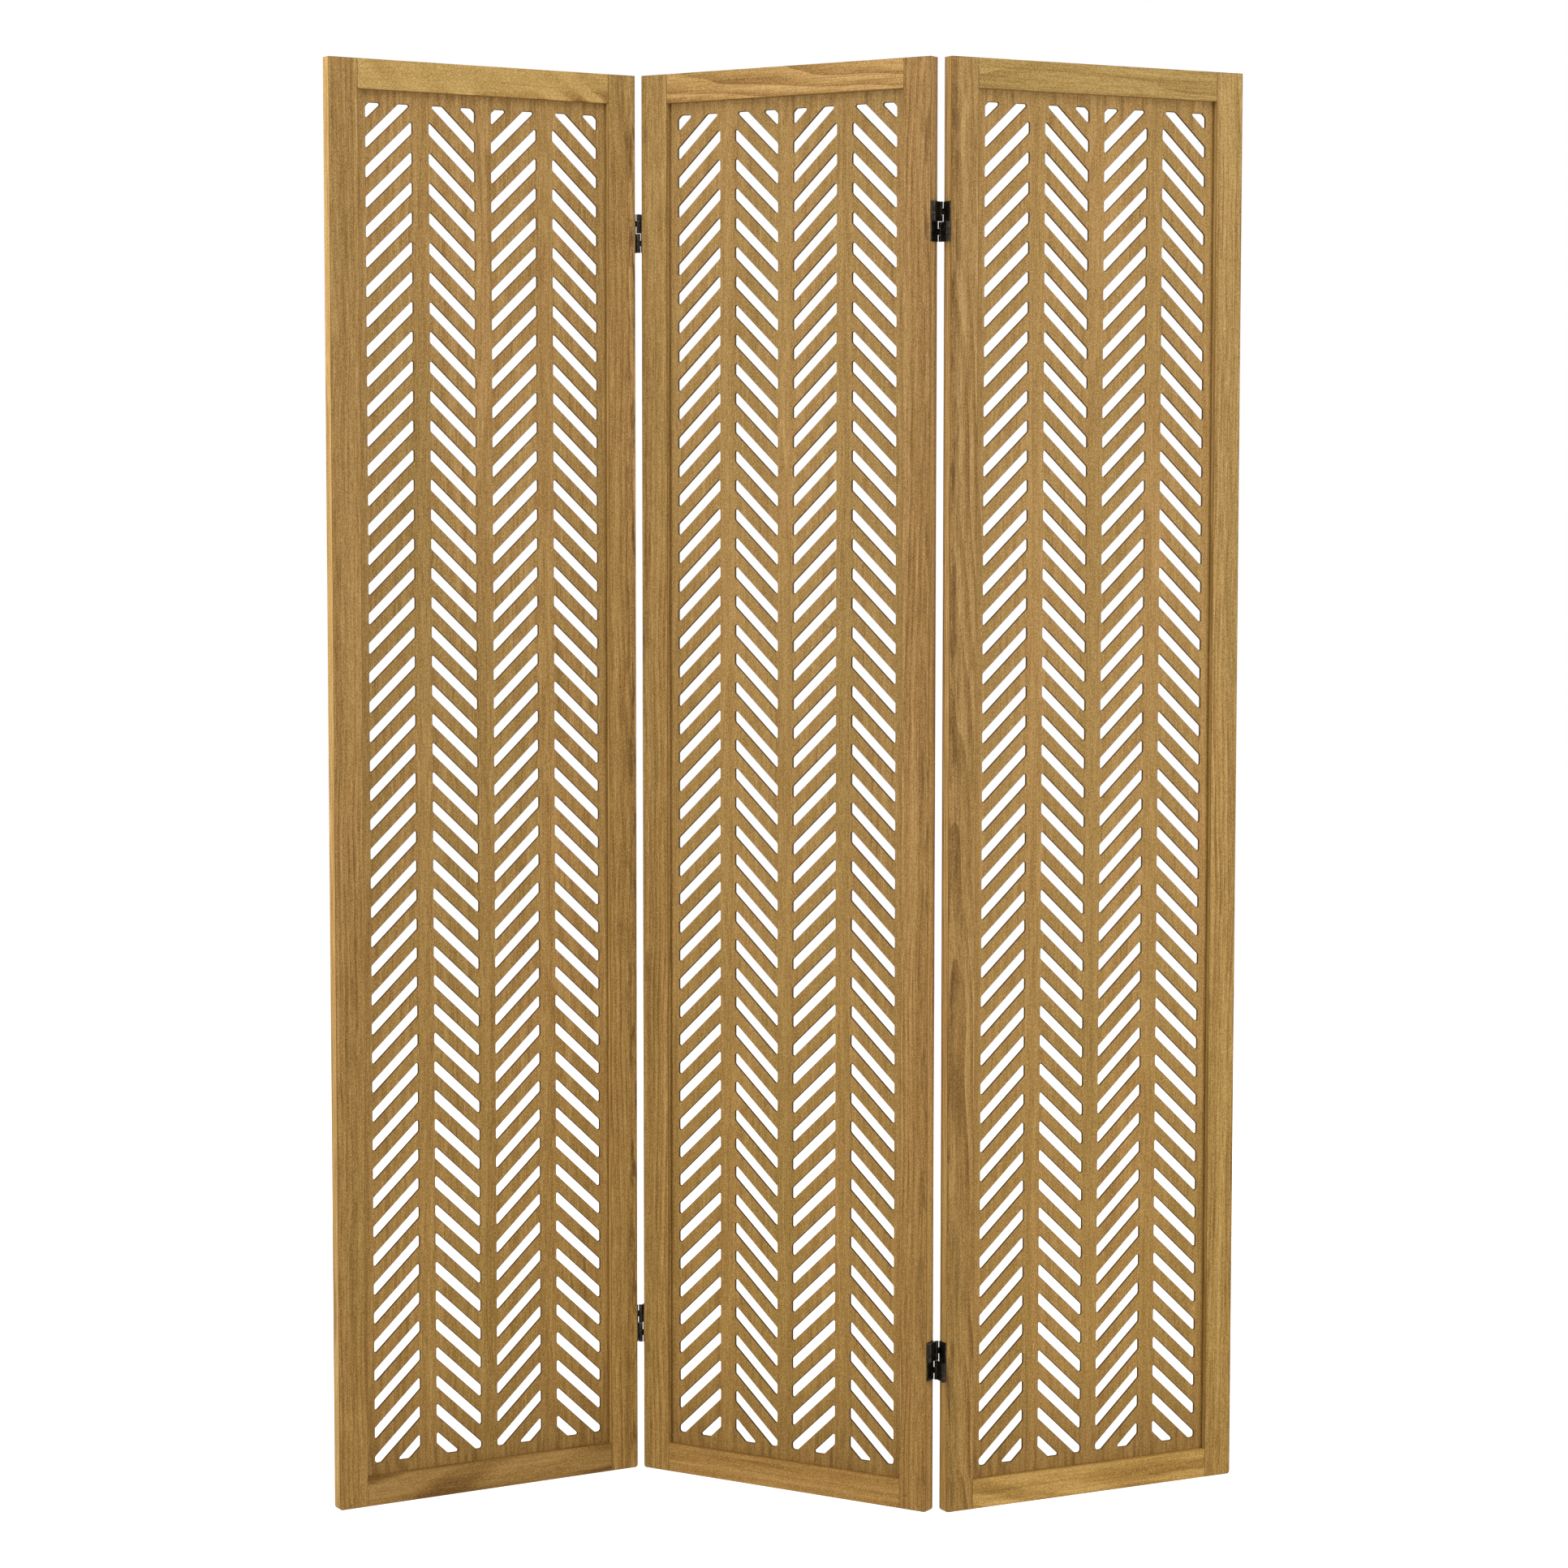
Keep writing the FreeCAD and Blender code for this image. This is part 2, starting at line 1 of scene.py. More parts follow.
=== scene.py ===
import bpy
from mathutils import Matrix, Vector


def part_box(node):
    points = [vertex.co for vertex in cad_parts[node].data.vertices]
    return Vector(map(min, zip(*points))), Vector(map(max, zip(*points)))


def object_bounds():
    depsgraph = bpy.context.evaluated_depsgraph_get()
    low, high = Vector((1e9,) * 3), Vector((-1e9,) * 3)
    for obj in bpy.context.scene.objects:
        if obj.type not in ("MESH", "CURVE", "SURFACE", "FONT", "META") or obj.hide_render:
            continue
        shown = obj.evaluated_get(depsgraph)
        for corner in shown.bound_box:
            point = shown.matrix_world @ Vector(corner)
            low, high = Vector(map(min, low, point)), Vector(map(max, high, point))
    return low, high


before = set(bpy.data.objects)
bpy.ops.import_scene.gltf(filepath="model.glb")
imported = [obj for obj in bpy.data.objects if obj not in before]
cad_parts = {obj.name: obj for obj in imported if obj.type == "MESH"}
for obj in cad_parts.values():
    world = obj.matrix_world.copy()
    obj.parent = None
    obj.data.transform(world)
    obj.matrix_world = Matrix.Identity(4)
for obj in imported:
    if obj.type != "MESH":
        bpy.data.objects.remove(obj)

"""Looks of a three-panel wooden folding screen, dressed over the fixed frame of its pieces.

Metres, +Z up, floor at Z = 0, -Y towards the front. Every wooden piece keeps its own solid, gets eased
arrises and a stained wood whose grain runs along it. The hinges get a blackened bronze.
"""

import logging
import math
from dataclasses import dataclass, field
from enum import Enum
from typing import Union

import bpy
from mathutils import Matrix, Vector

CAD_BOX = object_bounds()

QUARTER_TURN = math.radians(90)
# Rings of the wave texture lie a full turn apart, divided by its scale and this factor
WAVE_FACTOR = 20.0

Colour = tuple[float, float, float, float]
Triple = tuple[float, float, float]
Span = tuple[float, float]
Source = Union[bpy.types.NodeSocket, float, tuple[float, ...], Vector]
Inputs = dict[Union[str, int], Source]

log = logging.getLogger("folding_screen")


class Side(Enum):
    """The three panels, from left to right."""

    LEFT = "left"
    CENTRE = "centre"
    RIGHT = "right"


class Member(Enum):
    """The wooden pieces of a panel."""

    LEFT_STILE = "left_stile"
    RIGHT_STILE = "right_stile"
    BOTTOM_RAIL = "bottom_rail"
    TOP_RAIL = "top_rail"
    FRETWORK = "fretwork"

    @property
    def lying(self) -> bool:
        """Whether the piece lies level."""
        return self in (Member.BOTTOM_RAIL, Member.TOP_RAIL)


class HingeLevel(Enum):
    """Where a hinge sits on its joint."""

    LOWER = "lower"
    UPPER = "upper"


def srgb(red: int, green: int, blue: int) -> Colour:
    """Turns a colour as it looks on screen into a shader colour.

    Args:
        red: red from 0 to 255.
        green: green from 0 to 255.
        blue: blue from 0 to 255.

    Returns:
        The linear colour with full opacity.
    """
    full = 255
    toe = 0.04045
    toe_slope = 12.92
    foot = 0.055
    power = 2.4

    def linear(level: int) -> float:
        """Returns one channel in linear light."""
        share = level / full
        return share / toe_slope if share <= toe else ((share + foot) / (1 + foot)) ** power

    return (linear(red), linear(green), linear(blue), 1.0)


def grey(level: float) -> Colour:
    """Returns a grey of full opacity."""
    return (level, level, level, 1.0)


def scaled(colour: Colour, share: float) -> Colour:
    """Returns a colour made lighter or darker by a share."""
    return (colour[0] * share, colour[1] * share, colour[2] * share, colour[3])


def middle_of(node: str) -> Vector:
    """Returns the middle of a node's box at rest."""
    low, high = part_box(node)
    return (low + high) / 2


@dataclass(frozen=True)
class Layer:
    """One layer of noise in a finish.

    Attributes:
        across: features to a metre across the grain.
        along: features to a metre along the grain.
        detail: how many finer layers are added.
        roughness: how strong the finer layers are.
        offset: a move in features, so that no face lies where the noise is flat.
    """

    across: float
    along: float
    detail: float = 2.0
    roughness: float = 0.5
    offset: float = 0.0


class ShaderGraph:
    """Adds and links the nodes of one material."""

    def __init__(self, name: str) -> None:
        """Starts an empty material.

        Args:
            name: the material's name.
        """
        self.material: bpy.types.Material = bpy.data.materials.new(name)
        self.material.use_nodes = True
        self.tree: bpy.types.NodeTree = self.material.node_tree
        self.tree.nodes.clear()

    def feed(self, socket: bpy.types.NodeSocket, source: Source) -> None:
        """Links a socket to another one, or sets its value.

        Args:
            socket: the input that is fed.
            source: an output socket or a plain value.
        """
        if isinstance(source, bpy.types.NodeSocket):
            self.tree.links.new(source, socket)
        else:
            socket.default_value = source

    def add(self, kind: str, inputs: Inputs, **options: Union[str, bool]) -> bpy.types.Node:
        """Adds a node.

        Args:
            kind: the node's type.
            inputs: what feeds each input, by the input's name or number.
            options: the node's own settings.

        Returns:
            The new node.
        """
        node = self.tree.nodes.new(kind)
        for name, option in options.items():
            setattr(node, name, option)
        for socket, source in inputs.items():
            self.feed(node.inputs[socket], source)
        return node

    def scale_add(self, first: Source, factor: Source, rest: Source) -> bpy.types.NodeSocket:
        """Returns first times factor plus rest."""
        node = self.add("ShaderNodeMath", {0: first, 1: factor, 2: rest}, operation="MULTIPLY_ADD")
        return node.outputs[0]

    def combine(self, operation: str, first: Source, second: Source) -> bpy.types.NodeSocket:
        """Returns one arithmetic step on two values."""
        return self.add("ShaderNodeMath", {0: first, 1: second}, operation=operation).outputs[0]

    def times(self, first: Source, second: Source) -> bpy.types.NodeSocket:
        """Returns the product of two values."""
        return self.combine("MULTIPLY", first, second)

    def unsigned(self, value: Source) -> bpy.types.NodeSocket:
        """Returns a value without its sign."""
        return self.combine("ABSOLUTE", value, 0.0)

    def step(self, value: Source, low: float, high: float) -> bpy.types.NodeSocket:
        """Returns a soft step that climbs from 0 at low to 1 at high."""
        node = self.add("ShaderNodeMapRange", {0: value, 1: low, 2: high}, interpolation_type="SMOOTHSTEP")
        return node.outputs[0]

    def mix(self, factor: Source, first: Source, second: Source,
            blend: str = "MIX") -> bpy.types.NodeSocket:
        """Mixes two colours.

        Args:
            factor: how much of the second colour shows.
            first: the colour below.
            second: the colour above.
            blend: how the two are combined.

        Returns:
            The mixed colour's socket.
        """
        inputs: Inputs = {0: factor, 6: first, 7: second}
        return self.add("ShaderNodeMix", inputs, data_type="RGBA", blend_type=blend).outputs[2]

    def place(self, vector: Source, scale: Triple = (1, 1, 1),
              shift: Union[Triple, Vector] = (0, 0, 0),
              turn: Matrix = Matrix.Identity(3)) -> bpy.types.NodeSocket:
        """Scales, then turns, then moves coordinates.

        Args:
            vector: the coordinates.
            scale: the scale along each axis.
            shift: the move along each axis.
            turn: the rotation.

        Returns:
            The new coordinates' socket.
        """
        inputs = {"Vector": vector, "Location": shift, "Rotation": turn.to_euler(), "Scale": scale}
        return self.add("ShaderNodeMapping", inputs).outputs[0]

    def noise(self, vector: Source, layer: Layer, output: str = "Fac") -> bpy.types.NodeSocket:
        """Adds a noise that is stretched along the third axis.

        Args:
            vector: the coordinates.
            layer: how fine the noise is.
            output: whether a value or a colour is wanted.

        Returns:
            The noise's socket.
        """
        spot = self.place(vector, (layer.across, layer.across, layer.along), (layer.offset,) * 3)
        inputs: Inputs = {"Vector": spot, "Scale": 1.0, "Detail": layer.detail,
                          "Roughness": layer.roughness}
        return self.add("ShaderNodeTexNoise", inputs).outputs[output]

    def ramp(self, value: Source, stops: tuple[tuple[float, Colour], ...]) -> bpy.types.NodeSocket:
        """Turns a value into a colour.

        Args:
            value: the value from 0 to 1.
            stops: the ramp's places and colours, in order.

        Returns:
            The colour's socket.
        """
        node = self.add("ShaderNodeValToRGB", {0: value})
        elements = node.color_ramp.elements
        while len(elements) < len(stops):
            elements.new(1.0)
        for element, (position, colour) in zip(elements, stops):
            element.position = position
            element.color = colour
        return node.outputs[0]

    def surface(self, inputs: Inputs) -> bpy.types.Material:
        """Closes the graph with one surface shader.

        Args:
            inputs: what feeds the shader's sockets.

        Returns:
            The finished material.
        """
        shader = self.add("ShaderNodeBsdfPrincipled", inputs)
        self.add("ShaderNodeOutputMaterial", {"Surface": shader.outputs[0]})
        return self.material


@dataclass(frozen=True)
class Timber:
    """How one piece was sawn, how it was stained, and how much painted light its edges get.

    Attributes:
        tone: how light it is, as a share of the finish.
        redness: from -1, yellowish, to 1, reddish.
        core_across: where the middle of the growth rings lies across the face.
        core_behind: how far the middle of the rings lies behind the face.
        lean: degrees by which the rings lean towards the face, which draws arcs on it.
        slant: degrees by which the grain runs off to the side.
        spacing: how far apart the rings are.
        contrast: how strongly the rings show.
        streaks: how strongly the long soft streaks show.
        fine: how strongly the fibres, lines and pores show.
        strokes: how strongly dark strokes show beside its outer arris.
        edge: painted light on its side faces at the foot, as a share of its face.
        painted_edge_light_head: that painted light at the head.
    """

    tone: float = 1.0
    redness: float = 0.0
    core_across: float = 0.0
    core_behind: float = 0.035
    lean: float = 0.6
    slant: float = 0.0
    spacing: float = 0.0056
    contrast: float = 0.4
    streaks: float = 1.0
    fine: float = 1.0
    strokes: float = 0.15
    edge: float = 1.15
    painted_edge_light_head: float = 1.15


@dataclass(frozen=True)
class WoodFinish:
    """A stained wood: soft streaks, faint growth rings, fine fibres, speckle and short dark pores.

    Strengths are shares of the way from dark to light, spans say where a soft step starts and ends, and
    layers say how fine each part of the figure is.
    """

    dark: Colour = srgb(117, 84, 38)
    main: Colour = srgb(172, 135, 73)
    light: Colour = srgb(211, 176, 112)
    yellowish: Colour = (0.97, 1.02, 0.97, 1.0)
    reddish: Colour = (1.04, 0.965, 0.97, 1.0)
    patch_strength: float = 0.30
    streak_strength: float = 0.66
    fibre_strength: float = 0.84
    speckle_strength: float = 1.35
    ring_strength: float = 0.40
    line_strength: float = 0.52
    pore_strength: float = 0.46
    ramp_places: Triple = (0.1, 0.5, 0.9)
    line_span: Span = (0.60, 0.74)
    pore_span: Span = (0.58, 0.72)
    stroke_span: Span = (0.46, 0.66)
    ring_span: Span = (0.2, 0.95)
    ring_fade_span: Span = (0.34, 0.62)
    ring_mean: float = 0.22
    ring_flatten: float = 0.06
    ring_distortion: float = 2.6
    ring_detail: float = 2.0
    ring_detail_scale: float = 0.7
    ring_detail_roughness: float = 0.55
    broad_ring: float = 0.01
    hue_strength: float = 1.3
    seed_shift: Triple = (0.37, 0.11, 2.3)
    patches: Layer = Layer(15.0, 2.2)
    streaks: Layer = Layer(105.0, 1.9, 3.0, 0.6)
    fibres: Layer = Layer(560.0, 21.0, 3.0, 0.65)
    speckle: Layer = Layer(1000.0, 580.0, 2.0, 0.6, 0.25)
    lines: Layer = Layer(300.0, 2.4)
    pores: Layer = Layer(1050.0, 46.0)
    drift: Layer = Layer(9.0, 2.6, 2.0, 0.55)
    strokes: Layer = Layer(130.0, 15.0, 4.0, 0.68)
    warp: float = 0.022
    roughness: float = 0.62
    height_gloss: float = -0.12
    specular: float = 0.12
    bump_strength: float = 0.25
    bump_height: float = 0.0003

    def figure(self, graph: ShaderGraph, own: bpy.types.NodeSocket, seed: float,
               timber: Timber) -> tuple[bpy.types.NodeSocket, bpy.types.NodeSocket]:
        """Draws the wood's figure along the third axis of its coordinates.

        Args:
            graph: the material that is drawn.
            own: coordinates about the piece's middle, with the grain along the third axis.
            seed: a number that gives the piece a figure of its own.
            timber: how the piece was sawn and stained.

        Returns:
            The colour and the height of the surface.
        """
        grain = graph.place(own, shift=tuple(move * seed for move in self.seed_shift))
        sway = self.sway(graph, grain)
        warped = graph.add("ShaderNodeVectorMath", {0: grain, 1: sway}, operation="ADD").outputs[0]
        patches = graph.noise(grain, self.patches)
        streaks = graph.noise(warped, self.streaks)
        fibres = graph.noise(warped, self.fibres)
        speckle = graph.noise(grain, self.speckle)
        lines = graph.step(graph.noise(warped, self.lines), *self.line_span)
        pores = graph.step(graph.noise(warped, self.pores), *self.pore_span)
        rings = self.rings(graph, own, sway, patches, timber)
        layers = ((patches, self.patch_strength), (streaks, self.streak_strength * timber.streaks),
                  (fibres, self.fibre_strength * timber.fine), (speckle, self.speckle_strength))
        ring_strength = self.ring_strength * timber.contrast
        value: Source = (1 - sum(strength for _, strength in layers)) / 2 + self.ring_mean * ring_strength
        for layer, strength in layers:
            value = graph.scale_add(layer, strength, value)
        value = graph.scale_add(rings, -ring_strength, value)
        shades = (scaled(shade, timber.tone) for shade in (self.dark, self.main, self.light))
        colour = graph.ramp(value, tuple(zip(self.ramp_places, shades)))
        hue = graph.scale_add(patches, self.hue_strength, (1 - self.hue_strength + timber.redness) / 2)
        colour = graph.mix(1.0, colour, graph.mix(hue, self.yellowish, self.reddish), "MULTIPLY")
        pitted = graph.times(pores, self.pore_strength * timber.fine)
        drawn = graph.times(lines, self.line_strength * timber.fine)
        grain_marks_and_arris_shade = graph.combine("MAXIMUM", pitted, drawn)
        colour = graph.mix(grain_marks_and_arris_shade, colour, scaled(self.dark, timber.tone))
        return colour, graph.combine("SUBTRACT", fibres, pitted)

    def sway(self, graph: ShaderGraph, grain: bpy.types.NodeSocket) -> bpy.types.NodeSocket:
        """Draws how far the grain wanders to the side.

        Args:
            graph: the material that is drawn.
            grain: coordinates with the grain along the third axis.

        Returns:
            The move across the grain, as a vector.
        """
        drift = graph.noise(grain, self.drift, "Color")
        half = self.warp / 2
        inputs = {0: drift, 1: (self.warp, self.warp, 0.0), 2: (-half, -half, 0.0)}
        return graph.add("ShaderNodeVectorMath", inputs, operation="MULTIPLY_ADD").outputs[0]

    def rings(self, graph: ShaderGraph, own: bpy.types.NodeSocket, sway: bpy.types.NodeSocket,
              patches: bpy.types.NodeSocket, timber: Timber) -> bpy.types.NodeSocket:
        """Draws growth rings that fade in and out.

        Args:
            graph: the material that is drawn.
            own: coordinates about the piece's middle, with the grain along the third axis.
            sway: how far the grain wanders to the side.
            patches: the broad patches, where the rings fade.
            timber: where the rings' middle lies and how they lean.

        Returns:
            The dark part of the rings, from 0 to 1.
        """
        lean = Matrix.Rotation(math.radians(timber.lean), 3, "X")
        slant = Matrix.Rotation(math.radians(timber.slant), 3, "Y")
        moved = graph.add("ShaderNodeVectorMath", {0: own, 1: sway}, operation="ADD").outputs[0]
        core = (-timber.core_across, -timber.core_behind, 0.0)
        leaning = graph.place(moved, shift=core, turn=lean @ slant)
        flat = graph.place(leaning, scale=(1.0, 1.0, self.ring_flatten))
        inputs = {"Vector": flat, "Scale": math.tau / (WAVE_FACTOR * timber.spacing),
                  "Distortion": self.ring_distortion, "Detail": self.ring_detail,
                  "Detail Scale": self.ring_detail_scale, "Detail Roughness": self.ring_detail_roughness}
        profile = "SIN" if timber.spacing > self.broad_ring else "SAW"
        wave = graph.add("ShaderNodeTexWave", inputs, wave_type="RINGS", rings_direction="Z",
                         wave_profile=profile)
        fade = graph.step(patches, *self.ring_fade_span)
        return graph.times(graph.step(wave.outputs["Fac"], *self.ring_span), fade)

    def finish(self, graph: ShaderGraph, colour: Source, height: Source) -> bpy.types.Material:
        """Closes a wood material.

        Args:
            graph: the material that is drawn.
            colour: its colour.
            height: its surface height.

        Returns:
            The finished material.
        """
        bump = graph.add("ShaderNodeBump", {"Height": height, "Strength": self.bump_strength,
                                            "Distance": self.bump_height})
        gloss = graph.scale_add(height, self.height_gloss, self.roughness)
        return graph.surface({"Base Color": colour, "Roughness": gloss, "Specular IOR Level": self.specular,
                              "Normal": bump.outputs[0]})


@dataclass(frozen=True)
class MetalFinish:
    """A blackened metal, slightly uneven, rubbed brown in places."""

    dark: Colour = srgb(25, 20, 14)
    rubbed: Colour = srgb(70, 57, 43)
    metallic: float = 0.75
    roughness: float = 0.42
    gloss_range: float = 0.22
    rubbed_span: Span = (0.46, 0.72)
    clouds: Layer = Layer(240.0, 240.0, 3.0, 0.6)
    grit: Layer = Layer(2200.0, 2200.0)
    grit_strength: float = 0.12
    grit_height: float = 0.0001

    def build(self, name: str) -> bpy.types.Material:
        """Draws the finish.

        Args:
            name: the material's name.

        Returns:
            The finished material.
        """
        graph = ShaderGraph(name)
        spot = graph.add("ShaderNodeTexCoord", {}).outputs["Object"]
        clouds = graph.noise(spot, self.clouds)
        grit = graph.noise(spot, self.grit)
        colour = graph.mix(graph.step(clouds, *self.rubbed_span), self.dark, self.rubbed)
        gloss = graph.scale_add(clouds, self.gloss_range, self.roughness - self.gloss_range / 2)
        bump = graph.add("ShaderNodeBump", {"Height": grit, "Strength": self.grit_strength,
                                            "Distance": self.grit_height})
        return graph.surface({"Base Color": colour, "Roughness": gloss, "Metallic": self.metallic,
                              "Normal": bump.outputs[0]})


LEAF_METAL = MetalFinish()
PIN_METAL = MetalFinish(dark=srgb(36, 31, 25), roughness=0.34)

# The timber of every piece: stiles are cut beside the rings, rails through them, boards far out
TIMBERS: dict[Side, dict[Member, Timber]] = {
    Side.LEFT: {
        Member.LEFT_STILE: Timber(tone=0.92, redness=0.4, core_across=0.10, core_behind=0.03,
                                  contrast=0.5, edge=1.13, painted_edge_light_head=1.6),
        Member.RIGHT_STILE: Timber(tone=1.0, redness=0.2, core_across=-0.05, lean=1.1, contrast=0.6,
                                   strokes=0.9, edge=1.3),
        Member.BOTTOM_RAIL: Timber(tone=0.79, redness=0.6, lean=3.0, slant=7.0, spacing=0.014,
                                   contrast=1.0, fine=0.5),
        Member.TOP_RAIL: Timber(tone=1.14, redness=-0.5, lean=12.0, slant=-42.0, spacing=0.03,
                                contrast=1.3, streaks=0.2, fine=0.4),
        Member.FRETWORK: Timber(tone=0.92, redness=0.1, core_across=0.05, core_behind=0.3,
                                contrast=0.25, streaks=0.7, fine=0.85),
    },
    Side.CENTRE: {
        Member.LEFT_STILE: Timber(tone=0.94, core_across=0.06, core_behind=0.05, lean=0.8, contrast=0.5,
                                  strokes=0.35),
        Member.RIGHT_STILE: Timber(tone=0.88, redness=0.9, core_across=0.05, lean=1.2, contrast=0.65,
                                   strokes=0.6, painted_edge_light_head=1.0),
        Member.BOTTOM_RAIL: Timber(tone=0.97, redness=1.1, lean=4.0, slant=9.0, spacing=0.014,
                                   contrast=0.5, fine=0.6),
        Member.TOP_RAIL: Timber(tone=1.06, redness=0.1, core_across=0.02, core_behind=0.06, lean=0.8,
                                spacing=0.004, contrast=0.8, fine=0.8),
        Member.FRETWORK: Timber(tone=0.91, core_across=-0.06, core_behind=0.3, contrast=0.2, streaks=0.5,
                                fine=0.7),
    },
    Side.RIGHT: {
        Member.LEFT_STILE: Timber(tone=0.86, redness=0.5, core_across=-0.012, lean=1.6, slant=0.7,
                                  contrast=0.8, strokes=0.8, edge=1.22, painted_edge_light_head=1.3),
        Member.RIGHT_STILE: Timber(tone=0.99, redness=-0.2, core_across=0.08, core_behind=0.03,
                                   contrast=0.5, edge=1.0, painted_edge_light_head=1.0),
        Member.BOTTOM_RAIL: Timber(tone=1.18, redness=-0.3, lean=4.5, slant=-10.0, spacing=0.016,
                                   contrast=0.5, fine=0.6),
        Member.TOP_RAIL: Timber(tone=1.01, redness=-0.9, lean=2.2, slant=2.5, spacing=0.007, contrast=0.8,
                                fine=0.7),
        Member.FRETWORK: Timber(tone=0.94, redness=0.2, core_across=0.03, core_behind=0.3, contrast=0.2,
                                streaks=0.4, fine=0.65),
    },
}


@dataclass
class WoodDraft:
    """A piece's wood before it is closed.

    Attributes:
        graph: the material that is drawn.
        colour: its colour so far.
        height: its surface height.
        aside: how far a point lies from the panel's middle, to either side.
        rise: how high it lies above the floor.
        level: that height, from 0 at the foot to 1 at the head.
        strokes: short dark strokes along the grain, from 0 to 1.
    """

    graph: ShaderGraph
    colour: bpy.types.NodeSocket
    height: bpy.types.NodeSocket
    aside: bpy.types.NodeSocket
    rise: bpy.types.NodeSocket
    level: bpy.types.NodeSocket
    strokes: bpy.types.NodeSocket


@dataclass
class Panel:
    """One panel: two stiles, two rails and a pierced board in their grooves.

    A reach is how far a shade spreads, and a span says where a soft step starts and ends.
    """

    side: Side
    wood: WoodFinish = field(default_factory=WoodFinish)
    stile_width: float = 0.0365
    rail_height: float = 0.0345
    frame_arris: float = 0.0005
    frame_facets: int = 2
    slot_arris: float = 0.0007
    slot_facets: int = 1
    arris_slot: int = 1
    weld_distance: float = 0.000002
    arris_angle: float = math.radians(40)
    # Faces turned along the panel, which get painted light
    lit_edge_span: Span = (0.6, 0.8)
    wall_span: Span = (0.35, 0.6)
    # The arrises' darker mottled colour, a painted shade along them
    arris_mottle_span: Span = (0.7, 1.3)
    painted_arris_shade: Colour = srgb(126, 92, 46)
    foot_tint: Colour = (1.0, 0.985, 0.9, 1.0)
    head_tint: Colour = (1.0, 1.01, 1.1, 1.0)
    # Dark colour of the board's cut walls and slot arrises, a painted shade inside the slots
    painted_cut_shade: Colour = srgb(98, 70, 34)
    # Dark colour of the strokes and dashes, of the darkening at the board's foot, and of painted shade
    stain_and_painted_shade: Colour = srgb(88, 57, 22)
    # How far and how strongly the painted shade on the board reaches out from the frame
    frame_shade_reach: float = 0.0018
    frame_shade_strength: float = 0.32
    stroke_reach: float = 0.024
    end_reach: float = 0.06
    end_strokes: float = 0.42
    foot_reach: float = 0.18
    foot_shade: float = 0.2
    # Mottle of the painted shade on the arrises
    arris_mottle: Layer = Layer(400.0, 400.0, 3.0, 0.6)
    # Tint of the painted light on the side faces
    painted_edge_tint: Colour = (1.0, 1.03, 1.08, 1.0)

    def node(self, member: Member) -> str:
        """Returns the node name of a piece."""
        return f"{self.side.value}_panel_{member.value}"

    @property
    def middle(self) -> Vector:
        """The panel's middle at floor height."""
        spot = (middle_of(self.node(Member.LEFT_STILE)) + middle_of(self.node(Member.RIGHT_STILE))) / 2
        return Vector((spot.x, spot.y, 0.0))

    @property
    def along(self) -> Vector:
        """From the middle of the left stile to the middle of the right one."""
        return middle_of(self.node(Member.RIGHT_STILE)) - middle_of(self.node(Member.LEFT_STILE))

    @property
    def untwist(self) -> Matrix:
        """Turns the panel's own directions to the axes."""
        return Matrix.Rotation(-math.atan2(self.along.y, self.along.x), 3, "Z")

    @property
    def height(self) -> float:
        """The panel's height."""
        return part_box(self.node(Member.LEFT_STILE))[1].z

    def placed(self, graph: ShaderGraph, middle: Vector, turn: Matrix) -> bpy.types.NodeSocket:
        """Returns coordinates about a point of the resting panel, turned."""
        spot = graph.add("ShaderNodeTexCoord", {}).outputs["Object"]
        return graph.place(spot, shift=-(turn @ middle), turn=turn)

    def draft(self, member: Member) -> WoodDraft:
        """Starts a piece's wood with the grain along the piece.

        Args:
            member: the piece.

        Returns:
            The wood so far.
        """
        graph = ShaderGraph(f"wood_{self.node(member)}")
        turn = Matrix.Rotation(QUARTER_TURN if member.lying else 0.0, 3, "Y") @ self.untwist
        own = self.placed(graph, middle_of(self.node(member)), turn)
        seed = list(Side).index(self.side) * len(Member) + list(Member).index(member)
        colour, height = self.wood.figure(graph, own, seed, TIMBERS[self.side][member])
        place = graph.add("ShaderNodeSeparateXYZ", {0: self.placed(graph, self.middle, self.untwist)})
        level = graph.step(place.outputs["Z"], 0.0, self.height)
        tint = graph.mix(level, self.foot_tint, self.head_tint)
        aside = graph.unsigned(place.outputs["X"])
        strokes = graph.step(graph.noise(own, self.wood.strokes), *self.wood.stroke_span)
        return WoodDraft(graph, graph.mix(1.0, colour, tint, "MULTIPLY"), height, aside,
                         place.outputs["Z"], level, strokes)

    def facing(self, graph: ShaderGraph, direction: Vector) -> bpy.types.NodeSocket:
        """Measures how squarely a surface faces along a direction, either way.

        Args:
            graph: the material that is drawn.
            direction: the direction, in the resting frame.

        Returns:
            From 0, sideways, to 1, square on.
        """
        normal = graph.add("ShaderNodeTexCoord", {}).outputs["Normal"]
        dot = graph.add("ShaderNodeVectorMath", {0: normal, 1: direction}, operation="DOT_PRODUCT")
        return graph.unsigned(dot.outputs["Value"])

    def frame_wood(self, member: Member) -> bpy.types.Material:
        """Finishes a stile or rail, with painted light that makes its outer edges a little lighter.

        Args:
            member: the piece.

        Returns:
            The finished material.
        """
        timber = TIMBERS[self.side][member]
        draft = self.draft(member)
        graph = draft.graph
        outer = (self.along.length + self.stile_width) / 2
        near = graph.step(draft.aside, outer - self.stroke_reach, outer)
        rubbed = graph.times(graph.times(near, draft.strokes), timber.strokes)
        colour = graph.mix(rubbed, draft.colour, self.stain_and_painted_shade)
        # Painted light lightens faces turned along the panel, by a share that changes from foot to head
        edge = graph.step(self.facing(graph, self.along.normalized()), *self.lit_edge_span)
        foot = scaled(self.painted_edge_tint, timber.edge)
        head = scaled(self.painted_edge_tint, timber.painted_edge_light_head)
        painted_lit_edge = graph.mix(1.0, draft.colour, graph.mix(draft.level, foot, head), "MULTIPLY")
        return self.wood.finish(graph, graph.mix(edge, colour, painted_lit_edge), draft.height)

